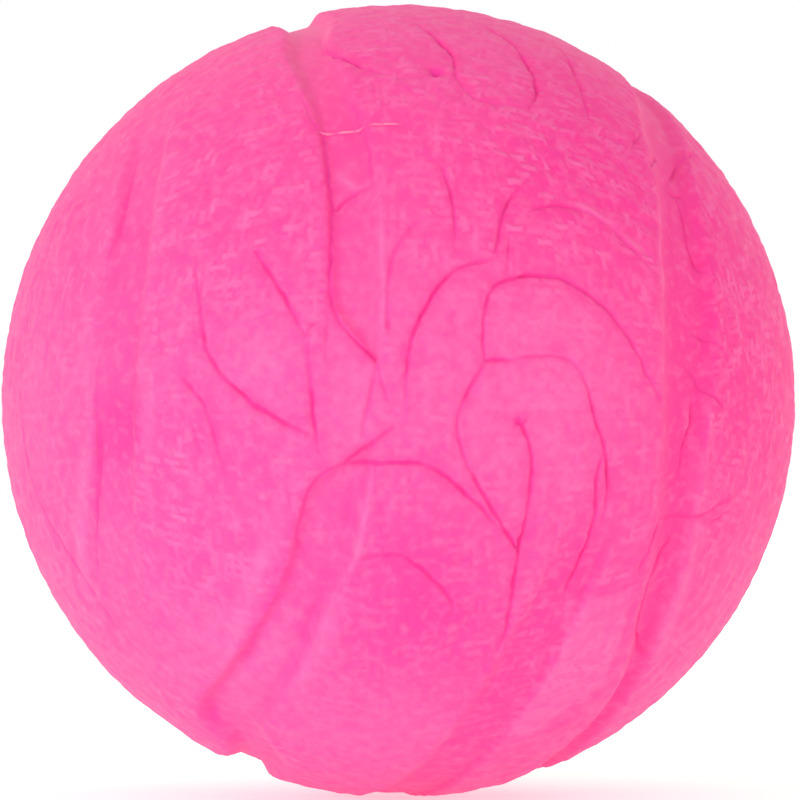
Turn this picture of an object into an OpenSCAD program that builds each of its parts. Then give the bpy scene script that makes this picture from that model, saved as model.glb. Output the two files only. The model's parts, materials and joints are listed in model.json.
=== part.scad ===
// Scented dog ball: two moulded half skins, joined on a stepped rim, round a foam core.
// The origin is the centre of the ball. +Z is up, and the front of the ball faces -Y.

/* [Ball] */
// Outside diameter of the ball
ball_d = 65; // [55:1:80]
// Wall thickness of the moulded skin
skin_t = 4; // [3.5:0.25:6]
// Room between the foam core and the inside of the skin
core_fit = 0.05; // [0.02:0.01:0.2]

/* [Parting line] */
// Lean of the parting plane, with its front edge up
parting_tilt = 42; // [38:1:46]
// Thickness of the bond between the two halves
bond_t = 0.2; // [0.1:0.05:0.4]
// Height of the tongue that centres the halves on each other
tongue_h = 2; // [1:0.25:4]
// Width of the tongue, from the inside of the skin outwards
tongue_w = 1.6; // [1:0.1:2]
// Height of the flash that is left standing in the channels
flash_h = 0.15; // [0.05:0.05:0.3]

/* [Channels] */
// Width of the two channels that run round the ball
ring_w = 4.5; // [3.5:0.25:5]
// Depth of the two channels that run round the ball
ring_depth = 1; // [0.6:0.1:1.2]
// Width of the web of rubber that crosses the first channel at the front
web_w = 9; // [6:0.5:12]
// Width of the shallow band that leaves the first channel and joins it again
band_w = 3.5; // [2.5:0.25:4]
// Depth of the shallow band
band_depth = 0.5; // [0.3:0.1:0.6]

/* [Creases] */
// Width of a crease at the surface
crease_w = 0.5; // [0.4:0.05:0.7]
// Depth of a crease
crease_depth = 0.3; // [0.2:0.05:0.4]
// Distance that a crease stops short of its last place
crease_gap = 0.5; // [0.4:0.05:0.8]
// Width of a small round pit
pit_w = 0.8; // [0.7:0.05:1]
// Depth of a small round pit
pit_depth = 0.35; // [0.3:0.05:0.5]

/* [Hidden] */
$fn = 96;
cutter_fn = 24;
ball_r = ball_d / 2;
cavity_r = ball_r - skin_t;
step_r = cavity_r + tongue_w;
half_bond = bond_t / 2;
// How far a cutting shape reaches past what it cuts
past = 2;
// Where two arcs of a crease meet, both stop this share of the cutter's radius short, in a ball this much larger
joint_gap = 0.45;
joint_room = 1.3;
// How near the parting plane a crease may end and still count as on both halves, as a share of the ball's radius
rim_zone = 0.05;
pink = "hotpink";
foam_pink = "lightpink";

// Every place on the ball is [longitude, latitude] in degrees, as seen from the front: longitude to the right,
// latitude up.

// Channels that run round the ball: the place of the pole, and the angle from it to the middle of the channel
first_pole = [-75, 4];
first_angle = 67.5;
second_pole = [115, -4];
second_angle = 68.5;
// Angle from the pole to the crease that follows the first channel's left side
edge_angle = 64.5;

// The shallow band starts and ends in the first channel
band = [[-126, 59], [-43, 3], [-114.5, -55]];

// Creases, each a run of arcs through three places
creases = [
    // Left cap
    [[-31, 18.5], [-29, 12], [-27, 6], [-22, 1], [-13.5, -4]],
    [[-31, 3], [-27.5, -1], [-25, -8.5]],
    [[-21.5, 21], [-17.5, 16], [-13.5, 10]],
    // Big lower leaf, and the short line in it
    [[-2, -8], [1, -8], [4, -9], [9, -12], [13.5, -16]],
    [[-5, -22.5], [0, -21.5], [4.5, -24.5], [7.5, -27], [8.5, -30]],
    // Inner curl: its left side, top, right side, second right line, and the line from its eye
    [[11.5, 4.5], [8.5, -1], [8.5, -6], [11.5, -12], [17.5, -20.5]],
    [[12, 5.5], [18.5, 6.5], [25, 4.5]],
    [[26, 3.5], [28.5, -1], [30, -6.5], [31, -11.5], [31, -16]],
    [[29, -10.5], [29.5, -17], [28, -25.5]],
    [[16, -2], [18.3, -6], [19.5, -11.5], [18.5, -21.5], [18, -34]],
    // Outer curls
    [[1, 0], [1.5, 6.5], [3.5, 12.5], [8, 18], [14, 20]],
    [[12, 5.5], [12, 11.5], [14, 16], [19.5, 17.5], [25.5, 16.5], [32.5, 11], [37.5, 3]],
    [[16, 19], [17, 23], [20.5, 27], [25.5, 28], [32.5, 26.5], [38, 23], [42, 18]],
    [[-1.5, 10], [-1.5, 16], [-0.5, 21], [2.5, 25], [6, 27]],
    [[7.5, 34], [8.5, 28], [8.5, 21]],
    [[23, 33.5], [17, 28], [14.5, 21]],
    // Top
    [[-14, 58], [-9, 56], [-3, 53.5]],
    [[7.5, 70.5], [14, 61.5], [13, 52]],
    [[36, 61], [34, 53], [27, 45.5]],
    [[47, 55.5], [44, 49], [40, 43]],
    // Right cap
    [[53, -16], [58, -15], [63, -13.5]],
];

// Small round pits: a vent mark near the top, and the eye of the inner curl
pits = [[9, 53.5], [16.5, -3]];

// The two halves come from like moulds: a half turn about X takes one half onto the other
function turned(p) = [180 - p[0], -p[1]];
all_creases = concat(creases, [for (s = creases) [for (p = s) turned(p)]]);
all_pits = concat(pits, [for (p = pits) turned(p)]);

function toward(p) = [cos(p[1]) * sin(p[0]), -cos(p[1]) * cos(p[0]), sin(p[1])];

// How far above the parting plane a place lies, from -1 to 1
function above_parting(p) = toward(p) * [0, sin(parting_tilt), cos(parting_tilt)];
function on_half(stroke, side) = max([for (p = stroke) side * above_parting(p)]) > -rim_zone;

// A groove of some width and depth is cut by a round cutter: its radius, and how far out its middle runs
function cutter_r(width, depth) = (width * width / 4 + depth * depth) / (2 * depth);
function cutter_reach(width, depth) = ball_r - depth + cutter_r(width, depth);

// Cutters of one crease: a ball in each joint, and a bar for each arc.
// A ball is [place, width, depth, size], and a bar is [start, middle, end, start gap, end gap].
function joint_balls(stroke) = len(stroke) < 5 ? [] :
    [for (i = [2:2:len(stroke) - 3]) [stroke[i], crease_w, crease_depth, joint_room]];
function arc_bars(stroke) = let (last = len(stroke) - 1, inner = joint_gap * cutter_r(crease_w, crease_depth))
    [for (i = [0:2:last - 2]) [
        stroke[i], stroke[i + 1], stroke[i + 2],
        i == 0 ? crease_gap : inner, i == last - 2 ? crease_gap : inner,
    ]];

// Every cutter that works on one half: side is 1 above the parting plane and -1 below it
function half_cutters(side) = concat(
    [for (p = all_pits) if (on_half([p], side)) [p, pit_w, pit_depth, 1]],
    [for (s = all_creases) if (on_half(s, side)) each joint_balls(s)],
    [for (s = all_creases) if (on_half(s, side)) each arc_bars(s)]
);

// A round bar that follows the ball along the arc through three places, stopping short of it at both ends
module arc_bar(a, b, c, gap_a, gap_c, width, depth) {
    start = toward(a);
    end = toward(c);
    square = cross(toward(b) - start, end - start);
    axis = square / norm(square);
    rise = start * axis;
    spread = sqrt(1 - rise * rise);
    first = (start - rise * axis) / spread;
    second = cross(axis, first);
    turn = atan2(end * second, end * first);
    reach = cutter_reach(width, depth);
    per_mm = 180 / (PI * reach * spread);
    multmatrix([
        [first[0], second[0], axis[0], 0],
        [first[1], second[1], axis[1], 0],
        [first[2], second[2], axis[2], 0],
        [0, 0, 0, 1],
    ])
        rotate([0, 0, gap_a * per_mm])
            rotate_extrude(angle = (turn > 0 ? turn : turn + 360) - (gap_a + gap_c) * per_mm)
                translate([reach * spread, reach * rise])
                    circle(r = cutter_r(width, depth), $fn = cutter_fn);
}

module cutter(c) {
    kind = is_undef(c) ? 0 : len(c);
    if (kind == 4)
        translate(cutter_reach(c[1], c[2]) * toward(c[0])) sphere(r = c[3] * cutter_r(c[1], c[2]), $fn = cutter_fn);
    if (kind == 5)
        arc_bar(c[0], c[1], c[2], c[3], c[4], crease_w, crease_depth);
}

// Takes every cutter out of its children in rounds, four cutters from far apart in the list each time
module carve(cutters, rounds, done = 0) {
    if (done == rounds) children();
    else difference() {
        carve(cutters, rounds, done + 1) children();
        cutter(cutters[done]);
        cutter(cutters[done + rounds]);
        cutter(cutters[done + 2 * rounds]);
        cutter(cutters[done + 3 * rounds]);
    }
}

// A groove round the ball, at an angle from a pole. raise lifts its floor, and web is what it leaves standing at
// the front, a quarter turn on from the lowest place.
module ring_groove(pole, angle, width, depth, raise = 0, web = 0) {
    reach = cutter_reach(width, depth) + raise;
    web_turn = web * 180 / (PI * ball_r * sin(angle));
    rotate([0, 90 - pole[1], pole[0] - 90])
        rotate([0, 0, 90 + web_turn / 2])
            rotate_extrude(angle = 360 - web_turn)
                translate([reach * sin(angle), reach * cos(angle)])
                    circle(r = cutter_r(width, depth), $fn = cutter_fn);
}

// The channels as they are cut out of the ball or, raised, out of the bond's edge
module first_channel(raise) {
    ring_groove(first_pole, first_angle, ring_w, ring_depth, raise, web_w);
}

module second_channel(raise) {
    ring_groove(second_pole, second_angle, ring_w, ring_depth, raise);
}

// The solid ball with its channels and the finer relief that lies on one half
module relief_ball(side) {
    cutters = half_cutters(side);
    difference() {
        carve(cutters, ceil(len(cutters) / 4)) sphere(r = ball_r);
        first_channel(0);
        second_channel(0);
        ring_groove(first_pole, edge_angle, crease_w, ring_depth / 2 + crease_depth);
        arc_bar(band[0], band[1], band[2], 0, 0, band_w, band_depth);
    }
}

// Stands its children on the parting plane
module on_parting_plane() {
    rotate([-parting_tilt, 0, 0]) children();
}

module cavity() {
    sphere(r = cavity_r);
}

module upper_half_skin() {
    far = ball_r + past;
    color(pink) difference() {
        intersection() {
            relief_ball(1);
            on_parting_plane() rotate_extrude() polygon([
                [0, half_bond - tongue_h], [step_r - half_bond, half_bond - tongue_h],
                [step_r - half_bond, half_bond], [far, half_bond], [far, far], [0, far],
            ]);
        }
        cavity();
    }
}

module lower_half_skin() {
    far = ball_r + past;
    color(pink) difference() {
        intersection() {
            relief_ball(-1);
            on_parting_plane() rotate_extrude() polygon([
                [0, -far], [far, -far], [far, -half_bond], [step_r + half_bond, -half_bond],
                [step_r + half_bond, -half_bond - tongue_h], [0, -half_bond - tongue_h],
            ]);
        }
        cavity();
    }
}

// The film between the stepped rims, flush with the panels and proud of the channel floors
module bond_line() {
    far = ball_r + past;
    color(pink) difference() {
        intersection() {
            on_parting_plane() rotate_extrude() polygon([
                [cavity_r - past, -half_bond - tongue_h], [step_r + half_bond, -half_bond - tongue_h],
                [step_r + half_bond, -half_bond], [far, -half_bond], [far, half_bond],
                [step_r - half_bond, half_bond], [step_r - half_bond, half_bond - tongue_h],
                [cavity_r - past, half_bond - tongue_h],
            ]);
            sphere(r = ball_r);
        }
        cavity();
        first_channel(flash_h);
        second_channel(flash_h);
    }
}

module scented_core() {
    color(foam_pink) sphere(r = cavity_r - core_fit);
}

upper_half_skin();
lower_half_skin();
bond_line();
scented_core();
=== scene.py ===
# %% [markdown]
# # A scented dog ball
# The ball is two moulded half skins of pink foamed rubber, glued on a stepped rim round a soft foam core
# that carries the scent. Wide smooth channels run round it, and thin creases draw leaves and curls on its
# panels. The pieces could be modelled freely, but each one stands in for a measured solid, at the same
# place and size. So the first step loads those solids.

# %% Load the frame
import json
import math

import bmesh
import bpy
import numpy as np
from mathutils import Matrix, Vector
from mathutils.geometry import delaunay_2d_cdt


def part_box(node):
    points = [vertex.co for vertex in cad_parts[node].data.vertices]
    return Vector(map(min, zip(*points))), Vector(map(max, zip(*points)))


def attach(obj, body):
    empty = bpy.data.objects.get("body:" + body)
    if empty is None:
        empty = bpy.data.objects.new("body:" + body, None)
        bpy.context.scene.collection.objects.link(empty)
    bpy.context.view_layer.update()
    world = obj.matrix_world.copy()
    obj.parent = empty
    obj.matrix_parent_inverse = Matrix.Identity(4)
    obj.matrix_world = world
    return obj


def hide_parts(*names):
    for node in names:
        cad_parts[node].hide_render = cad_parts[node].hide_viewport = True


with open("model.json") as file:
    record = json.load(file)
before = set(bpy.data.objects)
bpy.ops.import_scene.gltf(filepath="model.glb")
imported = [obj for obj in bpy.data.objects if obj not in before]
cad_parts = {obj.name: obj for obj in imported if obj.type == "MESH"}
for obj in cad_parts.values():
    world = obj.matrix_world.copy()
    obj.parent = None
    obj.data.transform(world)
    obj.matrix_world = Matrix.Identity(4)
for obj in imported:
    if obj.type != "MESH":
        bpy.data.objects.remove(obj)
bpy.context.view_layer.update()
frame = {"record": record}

MM = 0.001

# %% [markdown]
# Sizes could all be typed in, but a typed size drifts from the solid that it copies. So they come from the
# frame where it holds them, and are written in millimetres where it doesn't. The centre of the ball is the
# origin, the front of the ball faces -Y, and the two halves meet on a plane that leans about X.

# %% Sizes
BALL_R = frame["record"]["mounts"][0]["dims"]["r_mm"] * MM
core_low, core_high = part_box("scented_core")
CORE_R = (core_high.x - core_low.x) / 2
SKIN_T = 4 * MM
CAVITY_R = BALL_R - SKIN_T
PARTING_TILT = math.radians(42)
BOND_T = 0.2 * MM
TONGUE_H = 2 * MM
TONGUE_W = 1.6 * MM
STEP_R = CAVITY_R + TONGUE_W
UP = np.array([0, math.sin(PARTING_TILT), math.cos(PARTING_TILT)])
print(f"radii in mm: ball {BALL_R / MM:.2f}, cavity {CAVITY_R / MM:.2f}, core {CORE_R / MM:.2f}")

# %% [markdown]
# A crease is a thin cut of the mould. It could be drawn by hand as a curve, but a list of places is easier
# to read and to change. A place is a longitude and a latitude in degrees, as seen from the front, with a
# strength: 1 is a full crease, and a small number is where it runs out. A smooth curve through the places
# gives the crease's line.

# %% Places and lines on the ball
LINE_STEP = 0.13 * MM
KNOT_STEPS = 24


def toward(lon, lat):
    """The direction of a place, seen from the centre of the ball."""
    lon, lat = math.radians(lon), math.radians(lat)
    return np.array([math.cos(lat) * math.sin(lon), -math.cos(lat) * math.cos(lon), math.sin(lat)])


def line_through(places, width):
    """Even rows of direction, strength and width, on a smooth curve through (lon, lat, strength) places."""
    knots = np.array([[*toward(lon, lat), strength] for lon, lat, strength in places])
    ends = np.vstack([2 * knots[0] - knots[1], knots, 2 * knots[-1] - knots[-2]])
    t = np.linspace(0, 1, KNOT_STEPS, endpoint=False)[:, None]
    runs = []
    for a, b, c, d in zip(ends, ends[1:], ends[2:], ends[3:]):
        cubic = 2 * a - 5 * b + 4 * c - d + t * (3 * (b - c) + d - a)
        runs.append(b + t / 2 * (c - a + t * cubic))
    fine = np.vstack([*runs, knots[-1:]])
    fine[:, :3] /= np.linalg.norm(fine[:, :3], axis=1)[:, None]
    steps = np.linalg.norm(np.diff(fine[:, :3], axis=0), axis=1)
    along = np.concatenate([[0], np.cumsum(steps)]) * BALL_R
    count = max(2, round(along[-1] / LINE_STEP) + 1)
    stops = np.linspace(0, along[-1], count)
    columns = [np.interp(stops, along, fine[:, k]) for k in range(4)]
    even = np.stack([*columns, np.full(count, width)], axis=1)
    even[:, :3] /= np.linalg.norm(even[:, :3], axis=1)[:, None]
    return even


print(f"one degree on the ball is {math.radians(1) * BALL_R / MM:.2f} mm long")

# %% [markdown]
# The creases follow the ball's own ornament, and were placed one by one. One long list would do, but they
# are grouped by where they lie, so that one group can be changed without looking for its lines among the
# others.

# %% Creases of the left panel and the first channel
left_panel = [
    [(-31, 18.5, 0.3), (-29, 12, 0.6), (-27, 6, 0.7), (-22, 1, 0.9), (-17.5, -2, 1), (-12.5, -4.5, 0.3)],
    [(-31, 3, 0.4), (-27.5, -1, 0.7), (-25.5, -8, 0.6), (-24.5, -10.5, 0.2)],
    [(-31.5, 2, 0.1), (-30.5, -1, 0.25), (-29.5, -4, 0.3), (-28, -8, 0.15)],
    [(-21.5, 21, 0.7), (-19.5, 18.5, 1.1), (-17.5, 16, 0.9), (-13, 9, 0.35)],
    [(-13, 9, 0.3), (-12, 10.5, 0.4), (-11, 11, 0.2)],
    [(-12.5, 8.5, 0.2), (-12, 1, 0.9), (-11, -7, 0.4)],
]
channel_edge = [
    [(-21.5, 49, 0.1), (-17, 43.5, 0.5), (-14, 40, 0.9), (-12, 34.5, 0.9), (-10.5, 28, 0.9)],
    [(-10.5, 28, 0.9), (-10, 22, 1.1), (-9.5, 14, 0.9), (-7, 9.5, 0.9), (-4.5, 7, 1.2), (-3, 5.5, 0.9)],
    [(0, -3, 0.15), (-4, -6, 1), (-7.5, -8.5, 0.8)],
    [(-7, -8.5, 0.8), (-10.5, -10, 0.6), (-12.5, -12, 0.6), (-14, -16, 0.6), (-15, -19.5, 0.5),
     (-14.5, -22.5, 0.1)],
    [(-10, 28, 0.8), (-8.5, 29.5, 0.7), (-4.5, 32, 0.3)],
    [(-9.5, 47, 0.15), (-7, 41.5, 0.5), (-5, 37, 0.8), (-4.5, 32.5, 0.3)],
    [(-3, 5.5, 0.5), (-2, 2, 0.4), (-1, -1, 0.1)],
    [(-3, 5, 0.4), (-4, 0, 0.45), (-5, -5, 0.2)],
    [(-9.5, 12, 0.1), (-10, 9.5, 0.35), (-10, 5, 0.1)],
]
print(f"{len(left_panel)} creases on the left panel, {len(channel_edge)} along the first channel")

# %% Creases of the leaf and the curls
big_leaf = [
    [(-7.5, -8.5, 0.7), (-2, -8.5, 0.9), (4.5, -9, 0.8), (11, -14, 0.8), (15, -18, 0.25)],
    [(-6.5, -22.5, 0.15), (-4, -22, 0.4), (0, -21.5, 0.6), (2.5, -23, 0.8), (5, -25, 0.9), (7, -27, 0.8),
     (8.5, -29, 0.8), (8.5, -30.5, 0.6), (8, -31.5, 0.2)],
]
inner_curl = [
    [(11.5, 4.5, 0.7), (8.5, -1, 0.8), (8.5, -6, 0.7), (11.5, -12, 0.8), (17.5, -20.5, 0.9)],
    [(12, 5.5, 0.8), (17.5, 6, 0.6), (23.5, 6, 0.4), (26.5, 3, 0.6), (28, -2, 1), (30, -7, 1.1),
     (31, -12.5, 0.8), (30.5, -17, 0.2)],
    [(29.5, -8, 0.4), (29, -10.5, 0.8), (29.5, -17, 1.1), (28.5, -23, 1.3), (27.5, -26.5, 0.8),
     (27.5, -28.5, 0.2)],
    [(17, -3, 1.2), (18.5, -6.5, 1), (19, -11, 0.9), (18.5, -16.5, 0.9), (18, -21, 1.1), (18, -27, 1.1),
     (18, -33.5, 0.7), (17.5, -37, 0.2)],
]
outer_curls = [
    [(1, 0, 0.2), (1.5, 6.5, 0.8), (3.5, 12.5, 0.9), (8, 18, 0.8), (14, 20, 0.4)],
    [(12, 5.5, 0.6), (12, 11.5, 0.7), (14, 16, 0.9), (19.5, 17.5, 0.9), (25.5, 16.5, 0.8), (32.5, 11, 0.8),
     (38, 2, 0.5), (40, -1, 0.15)],
    [(17, 24, 0.15), (16.5, 21, 0.5), (16, 18.5, 0.3)],
    [(20.5, 27, 0.3), (23.5, 28, 0.8), (27, 28, 0.7), (30, 27.5, 0.4), (34, 25, 0.35), (38.5, 20.5, 0.5),
     (41.5, 17.5, 0.15)],
    [(-1.5, 10, 0.5), (-1.5, 16, 0.4), (-0.5, 21, 0.4), (2.5, 25, 0.3), (6, 27, 0.1)],
    [(7.5, 34, 0.6), (8.5, 28, 0.9), (8.5, 21, 0.3)],
    [(23, 33.5, 0.3), (17, 28, 1), (14.5, 21, 0.6)],
]
print(f"{len(big_leaf)} creases round the leaf, {len(inner_curl) + len(outer_curls)} in the curls")

# %% Creases of the top and the sides
top_creases = [
    [(-30.5, 67, 0.2), (-23.5, 62, 0.8), (-17.5, 58.5, 1), (-11.5, 56, 1), (-7, 54, 0.6),
     (-1.5, 52.5, 0.1)],
    [(6.5, 69.5, 0.4), (12.5, 62.5, 1.1), (14.5, 57, 1.1), (13, 52.5, 0.7)],
    [(13, 52.5, 0.4), (16, 47.5, 0.4), (21, 46, 0.2), (27, 45.5, 0.3)],
    [(33.5, 70, 0.2), (37, 64, 0.6), (34.5, 55.5, 1), (31, 49, 0.9), (27, 45.5, 0.5)],
    [(60, 63.5, 0.1), (48.5, 54.5, 0.6), (42.5, 47.5, 0.7), (39.5, 42, 0.2)],
]
right_side = [
    [(52.5, 41, 0.8), (49, 39.5, 0.7), (45.5, 37.5, 0.2)],
    [(54.5, 37.5, 0.6), (51, 36, 0.8), (49, 35, 0.2)],
    [(53, 32.5, 0.3), (57.5, 34.5, 1), (62, 36.5, 0.8), (69.5, 38, 0.2)],
    [(52.5, 32, 0.3), (54.5, 31, 0.7), (57, 31, 0.3)],
    [(54.5, 31, 0.2), (54, 28.5, 0.9), (53, 25, 0.8), (52, 22.5, 1), (52.5, 19.5, 0.9), (53.5, 18, 0.2)],
    [(48, 10, 0.2), (51, 8.5, 0.8), (53, 7, 0.3)],
    [(46, 5, 0.3), (47.5, 3.5, 0.8), (49, 1.5, 1), (52, -0.5, 0.4)],
    [(47, 0.5, 0.3), (47, -2.5, 1), (45.5, -6.5, 1), (45.5, -8.5, 0.8), (45, -11, 0.3)],
    [(53, -17, 0.3), (54.5, -16.5, 0.5), (57, -15.5, 0.2)],
    [(41.5, -16.5, 0.2), (47.5, -16.5, 0.6), (52, -15.5, 0.6), (55.5, -14, 0.3), (58, -13.5, 0.1)],
    [(42, -17, 0.3), (41, -19.5, 0.8), (40, -23, 0.6), (39.5, -25, 0.1)],
    [(47.5, -18.5, 0.2), (46, -20.5, 0.7), (44, -25, 1.1), (43.5, -27.5, 1), (44, -30.5, 0.9),
     (45.5, -34, 1.2), (49, -37, 0.9), (55, -41.5, 0.3)],
]
left_side = [
    [(-74.5, 33.5, 0.1), (-70, 23.5, 0.15), (-69.5, 7, 0.15), (-67.5, -10.5, 0.3), (-59.5, -25, 0.35),
     (-54.5, -37.5, 0.1)],
    [(-54, 37, 0.2), (-49.5, 26, 0.6), (-48.5, 17, 0.2)],
    [(-47, 7, 0.2), (-47.5, -7, 0.7), (-49.5, -15, 0.6), (-53.5, -24, 0.2)],
]
print(f"{len(top_creases)} creases at the top, {len(right_side) + len(left_side)} on the sides")

# %% Soft creases and pits
soft_creases = [
    [(-15.5, -22, 0.1), (-18.5, -26, 0.35), (-22.5, -31.5, 0.5), (-28, -38, 0.6), (-35, -42.5, 0.35),
     (-44, -47, 0.45), (-49, -51.5, 0.5), (-57.5, -58.5, 0.3)],
    [(-10, -24, 0.1), (-14, -31, 0.4), (-18.5, -39, 0.45), (-26, -46.5, 0.4), (-35, -53, 0.1)],
    [(-6.5, -10.5, 0.2), (-7, -13.5, 0.4), (-7.5, -17, 0.3)],
    [(28.5, -27.5, 0.1), (31.5, -27.5, 0.3), (35, -27.5, 0.3), (38.5, -26.5, 0.1)],
    [(40.5, -27.5, 0.1), (41.5, -30.5, 0.3), (43, -35.5, 0.3), (44.5, -42, 0.1)],
    [(50, -40, 0.1), (53, -46.5, 0.4), (55, -52, 0.4), (58.5, -59.5, 0.2)],
]
pits = [
    [(8.8, 53.6, 2.6), (9.2, 53.4, 2.6)],
    [(16.7, -2.8, 1.3), (17.1, -3.2, 1.3)],
]
print(f"{len(soft_creases)} soft creases and {len(pits)} pits")

# %% [markdown]
# A lip is a low ridge beside a channel or a crease, where the mould pressed the rubber up. It could be
# modelled on its own, but it is the same kind of line as a crease and only goes the other way, so it is
# listed in the same way.

# %% Lips
fine_lips = [
    [(-11.5, 34.5, 0.3), (-8.5, 32.5, 1), (-6.5, 31.5, 0.8), (-4, 32.5, 0.3)],
    [(-3, 30.5, 0.2), (-2.5, 22.5, 0.7), (-2, 14, 0.6), (-3, 7.5, 0.2)],
    [(27, 29, 0.3), (30, 28, 0.7), (32, 27, 1.2), (34.5, 25.5, 0.8), (36, 24, 0.2), (38.5, 22, 1.1),
     (40.5, 20.5, 0.3), (41.5, 18.5, 0.2)],
    [(47.5, 30, 0.1), (46, 27, 0.7), (45, 24.5, 0.4), (43.5, 21.5, 0.9), (43, 19.5, 0.4), (43, 18, 1),
     (42, 14.5, 0.4), (41, 11, 0.3), (40, 4, 0.1)],
    [(39.5, -27.5, 0.2), (36, -29, 0.2), (32, -30, 0.3), (28.5, -29.5, 0.4), (29.5, -33, 0.6),
     (31, -36.5, 0.5), (30.5, -42, 0.2)],
    [(46.5, -0.5, 0.2), (46, -2.5, 0.8), (46, -5, 0.3)],
    [(49, 0.5, 0.2), (49.5, -3.5, 0.8), (49, -8, 0.4)],
    [(-15, 13.5, 0.2), (-12.5, 12, 0.6), (-10.5, 10.5, 0.3)],
    [(-4, 3.5, 0.2), (-5, -0.5, 0.6), (-6, -5.5, 0.3)],
    [(-3.5, -9.5, 0.2), (-4.5, -15, 0.9), (-6, -21.5, 0.8), (-8, -25, 0.2)],
]
soft_lips = [
    [(-15.5, -11, 0.1), (-17.5, -16, 0.3), (-20.5, -22, 0.9), (-24, -28, 0.6), (-33, -40, 0.1)],
    [(-9, -27, 0.2), (-11, -31, 0.8), (-12.5, -35, 0.9), (-19, -43, 0.3)],
    [(-51, 21.5, 0.1), (-50.5, 14, 0.3), (-48.5, -2, 0.4), (-52, -12, 0.6), (-57, -22, 0.8),
     (-62, -31, 0.2)],
    [(-44, 37.5, 0.2), (-40, 25, 0.4), (-38, 12, 0.2), (-37, -4, 0.6), (-39, -12, 0.2)],
    [(48.5, -7, 0.2), (50.5, -22, 0.6), (53, -35, 0.5), (59, -45, 0.2)],
]
print(f"{len(fine_lips)} fine lips and {len(soft_lips)} soft ones")

# %% [markdown]
# Both halves come from like moulds: a half turn about X takes the relief of one onto the other. The back
# could have lists of its own, but nothing shows what they would say. So each list is used twice, as it is
# and half turned.

# %% Lines of both halves
CREASE_W = 0.47 * MM
SOFT_CREASE_W = 2.0 * MM
PIT_W = 1.4 * MM
LIP_W = 1.1 * MM
SOFT_LIP_W = 2.8 * MM
fine_creases = [
    *left_panel, *channel_edge, *big_leaf, *inner_curl, *outer_curls, *top_creases, *right_side, *left_side,
]


def half_turned(places):
    """The same mould gives both halves: a half turn about X takes one half's relief onto the other."""
    return [(180 - lon, -lat, strength) for lon, lat, strength in places]


def both_halves(lists, width):
    return [line_through(places, width) for places in [*lists, *map(half_turned, lists)]]


creases = [
    *both_halves(fine_creases, CREASE_W), *both_halves(soft_creases, SOFT_CREASE_W),
    *both_halves(pits, PIT_W),
]
lips = [*both_halves(fine_lips, LIP_W), *both_halves(soft_lips, SOFT_LIP_W)]
crease_mm = sum(len(c) - 1 for c in creases) * LINE_STEP / MM
print(f"{len(creases)} creases, {crease_mm:.0f} mm in all, and {len(lips)} raised lips")

# %% [markdown]
# The channels are wide and smooth. They could be cut with tubes, but the real ones swell, narrow and swing.
# So each follows a circle on the ball, given by its pole and the angle from it, and its two edges lie at
# their own distances from that circle and bend by themselves.

# %% Channels


def circle_through(a, b, c):
    """Pole, and angle from it in degrees, of the circle on the ball through three places."""
    a, b, c = toward(*a), toward(*b), toward(*c)
    pole = np.cross(b - a, c - a)
    pole /= np.linalg.norm(pole)
    return pole, math.degrees(math.acos(pole @ a))


band_pole, band_angle = circle_through((-126, 59), (-43, 3), (-114.5, -55))
# An edge is where the middle of its wall lies, in mm from the circle, the width of the wall in mm, and its
# bends. A bend is an axis, an amount in mm, and the two places on the axis, as parts of the radius, between
# which it grows. The near edge is the one nearer the pole. front is the share of the depth that is left at
# the front and back of the ball, smooth how much of the grain the floor loses above and below the middle,
# and tint how much deeper its pink is, which is painted shade on the floor of the hollow.
CHANNELS = {
    "First channel": {
        "pole": toward(-75, 4), "angle": 68.1, "depth": 1.0, "front": 0.75,
        "smooth": (1.0, 0.5), "tint": 0.0,
        "near": (-1.5, 1.2, [
            ("Z", -0.65, 0.6, 0.85), ("Z", 1.85, 0.84, 0.97), ("Z", -1.3, 0, -0.4), ("Z", -3, -0.38, -0.76),
            ("Z", 6.1, -0.73, -0.93),
        ]),
        "far": (2.05, 1.6, [
            ("Z", -1.2, 0.55, 0.86), ("Z", 2, 0.88, 0.98), ("Z", -3.1, -0.2, -0.85),
            ("Z", 4.6, -0.79, -0.95), ("Y", 2.5, -0.1, 0.35), ("Y", -2.5, 0.4, 0.75),
        ]),
    },
    "Second channel": {
        "pole": toward(115, -4), "angle": 68.5, "depth": 0.9, "front": 1.0,
        "smooth": (0.7, 0.5), "tint": 1.0,
        "near": (-2, 1.8, [("Z", -2.8, 0.5, 0.78), ("Z", 1, 0.15, -0.1)]),
        "far": (3.4, 3.2, [
            ("Z", -2.2, 0.3, 0.65), ("Z", -3.6, 0.65, 0.85), ("Z", -1.9, 0.15, -0.65),
            ("Z", -1.3, -0.5, -0.72), ("Z", 1.3, -0.75, -0.9),
        ]),
    },
    "Band": {
        "pole": band_pole, "angle": band_angle, "depth": 0.5, "front": 1.0,
        "smooth": (0.7, 0.6), "tint": 0.2,
        "near": (-2, 1.2, [("Z", 0.8, 0.35, 0.65)]), "far": (2.15, 1.5, [("Z", 0.8, 0.35, 0.65)]),
    },
    "Lower channel": {
        "pole": toward(108, -18), "angle": 74.7, "depth": 0.4, "front": 1.0,
        "smooth": (0.2, 0.2), "tint": 0.7,
        "near": (-2.6, 0.6, []), "far": (2.15, 1.5, []),
    },
}
print(f"{len(CHANNELS)} channels; the band's pole is {np.round(band_pole, 3)} at {band_angle:.1f} degrees")

# %% [markdown]
# Each half skin starts as a smooth blank: an outer cap, a stepped rim and an inner wall. A subdivided
# sphere could be cut in two, but it would be as fine on the plain panels as in the creases. So points
# spread evenly by the golden angle cover the cap, closer ones follow the channel walls and the creases, and
# a Delaunay triangulation joins them.

# %% Points spread over the ball
PANEL_GAP = 0.42 * MM
STEEP_GAP = 0.29 * MM
WALL_MARGIN = 0.3


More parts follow.
